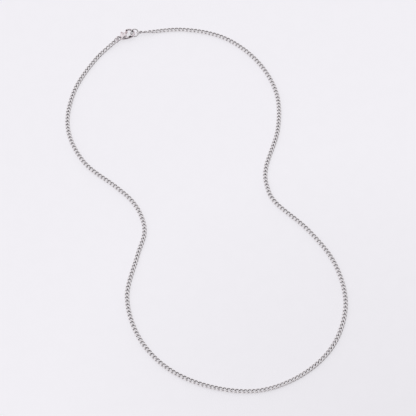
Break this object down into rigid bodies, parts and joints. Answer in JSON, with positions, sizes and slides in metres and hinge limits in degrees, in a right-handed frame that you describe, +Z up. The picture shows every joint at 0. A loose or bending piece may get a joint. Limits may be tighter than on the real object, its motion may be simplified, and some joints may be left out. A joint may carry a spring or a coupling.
{
  "type": "curb chain necklace",
  "caption": "Fine twisted curb chain necklace laid flat in its whole loop, closed by a small lobster clasp with a sprung thumb lever, a catch ring and a tail ring.",
  "frame": {"origin": "centre of the necklace's footprint, on the surface that it lies on", "axes": "+Z up from the surface, +Y along the loop's length towards the clasp, +X to the side that the catch ring's end of the chain leaves by"},
  "size_m": [0.0973, 0.1948, 0.0028],
  "materials": {
    "chain_steel": "drawn stainless steel wire, tumble polished",
    "ring_steel": "drawn stainless steel wire, tumble polished, ends sheared",
    "clasp_steel": "cast stainless steel, buffed to a mirror",
    "lever_steel": "stamped stainless steel, tumble polished"
  },
  "bodies": {
    "necklace": {"chain_right": "chain_steel", "chain_left": "chain_steel", "end_link_right": "chain_steel", "end_link_left": "chain_steel", "catch_ring": "ring_steel", "tail_ring": "ring_steel", "clasp_body": "clasp_steel", "clasp_pin": "clasp_steel"},
    "lever": {"clasp_lever": "lever_steel"}
  },
  "joints": [
    {"name": "lever_hinge", "type": "hinge", "parent": "necklace", "child": "lever", "pos_m": [-0.01127, 0.09429, 0.0014], "axis": [0, 0, -1], "range_deg": [0, 28], "stiffness_Nm_per_rad": 0.001, "springref_deg": -11.46}
  ]
}
